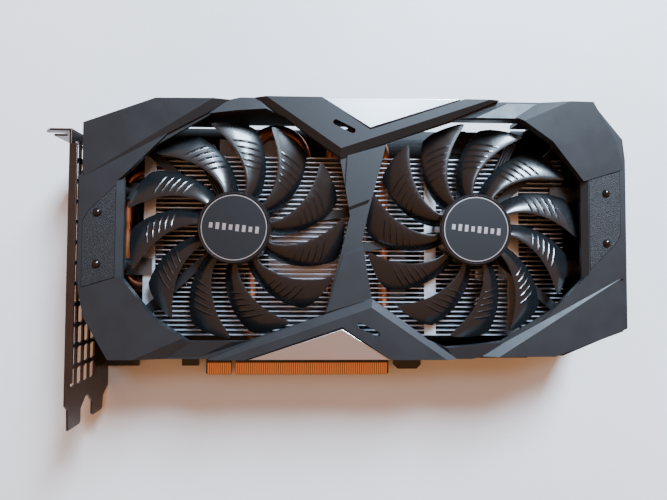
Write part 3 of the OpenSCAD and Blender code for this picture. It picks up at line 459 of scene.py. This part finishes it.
def disc(work, radius, low, high, centre, count=128, hole=0.0):
    """A flat disc or ring with a rounded upper edge."""
    soft = min(0.08, (high - low) / 3)
    profile = [(hole, low), (radius, low), (radius, high - soft), (radius - soft, high), (hole, high)]
    rings = []
    for i in range(count):
        a = 2 * math.pi * i / count
        cos, sin = math.cos(a), math.sin(a)
        rings.append([work.verts.new((centre.x + r * MM * cos, centre.y + r * MM * sin, z * MM))
                      for r, z in profile])
    n = len(profile)
    for i in range(count):
        for k in range(n):
            if hole == 0 and k == n - 1:
                continue
            a, b = rings[i], rings[(i + 1) % count]
            l = (k + 1) % n
            work.faces.new((a[k], b[k], b[l], a[l]))
    if hole == 0:
        bmesh.ops.remove_doubles(work, verts=work.verts, dist=1e-7)


def hub_label(side):
    """Printed disc with a thin silver ring and a row of plain bars in place of a maker's word."""
    node = side + "_hub_label"
    hub = joints[side + "_fan"]
    low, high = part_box(node)
    z = high.z / MM
    work = bmesh.new()
    disc(work, LABEL_RADIUS, low.z / MM, z - 0.03, hub)
    count = len(work.faces)
    disc(work, 13.2, z - 0.06, z, hub, hole=12.85)
    cos, sin = math.cos(math.radians(-6)), math.sin(math.radians(-6))
    for k in range(8):
        x = (k - 3.5) * 2.65
        wide, tall = 1.4, (2.7 if k % 3 else 2.1)
        corners = [(x + side_x * wide / 2, side_y * tall / 2)
                   for side_x, side_y in ((-1, -1), (1, -1), (1, 1), (-1, 1))]
        turned = [(hub.x + (px * cos - py * sin) * MM, hub.y + (px * sin + py * cos) * MM) for px, py in corners]
        a, b = [[work.verts.new((px, py, level * MM)) for px, py in turned] for level in (z - 0.06, z)]
        work.faces.new(b)
        work.faces.new(list(reversed(a)))
        for i in range(4):
            j = (i + 1) % 4
            work.faces.new((a[i], a[j], b[j], b[i]))
    work.faces.ensure_lookup_table()
    for index, face in enumerate(work.faces):
        face.material_index = 1 if index >= count else 0
    bmesh.ops.recalc_face_normals(work, faces=work.faces)
    mesh = bpy.data.meshes.new(node + "_print")
    work.to_mesh(mesh)
    work.free()
    mesh.materials.append(MATERIALS["hub_label"])
    mesh.materials.append(ring_silver)
    return finish_piece(bpy.data.objects.new(node + "_looks", mesh), node)


# Camera: above the middle of the card, looking straight down with a slight tilt

camera_data = bpy.data.cameras.new("camera")
camera_data.sensor_width = 36
camera_data.lens = 26.16
camera_data.clip_start = 0.01
camera = bpy.data.objects.new("camera", camera_data)
bpy.context.scene.collection.objects.link(camera)
bracket_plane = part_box("pcb")[0].x - 1 * MM
contact_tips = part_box("pcb")[0].y
eye = Vector((bracket_plane + 98.12 * MM, contact_tips + 50.41 * MM, 233.27 * MM))
turn = (Matrix.Rotation(math.radians(-0.348), 3, "Z") @ Matrix.Rotation(math.radians(1.85), 3, "Y")
        @ Matrix.Rotation(math.radians(-1.947), 3, "X"))
camera.matrix_world = Matrix.Translation(eye) @ turn.transposed().to_4x4()
bpy.context.scene.camera = camera

# Pieces

for side, angle, mirrored in (("left", LEFT_TURN, False), ("right", RIGHT_TURN, True)):
    rotor(side, angle, mirrored)
    hub_label(side)

softened("fan_shroud", 0.35)
for name in ("left_panel", "right_panel", "top_accent", "bottom_accent"):
    softened(name, 0.2)
softened("io_bracket", 0.12)
softened("backplate", 0.2)
softened("power_socket", 0.15)

# Table and light

floor_mesh = bpy.data.meshes.new("table_top")
half = 1.6
floor_mesh.from_pydata(
    [(-half, -half, 0), (half, -half, 0), (half, half, 0), (-half, half, 0)], [], [(0, 1, 2, 3)])
floor_mesh.materials.append(table_top())
floor = bpy.data.objects.new("table_top", floor_mesh)
bpy.context.scene.collection.objects.link(floor)


def soft_light(name, place, target, size, power, code):
    """A rectangular soft light aimed at a point."""
    data = bpy.data.lights.new(name, "AREA")
    data.shape = "RECTANGLE"
    data.size, data.size_y = size
    data.energy = power
    data.color = colour(code)[:3]
    lamp = bpy.data.objects.new(name, data)
    lamp.location = place
    lamp.rotation_mode = "QUATERNION"
    lamp.rotation_quaternion = (Vector(target) - Vector(place)).to_track_quat("-Z", "Y")
    bpy.context.scene.collection.objects.link(lamp)


soft_light("window", (0.42, 0.84, 0.8), (0.06, 0, 0), (0.34, 0.5), 68, "cbe6ff")
soft_light("skylight", (0.2, 0.62, 1.6), (0, 0.02, 0), (0.44, 0.28), 5.5, "c8e6ff")

world = bpy.data.worlds.new("room")
bpy.context.scene.world = world
world.use_nodes = True
world.node_tree.nodes["Background"].inputs["Color"].default_value = colour("ffb884")
world.node_tree.nodes["Background"].inputs["Strength"].default_value = 0.68
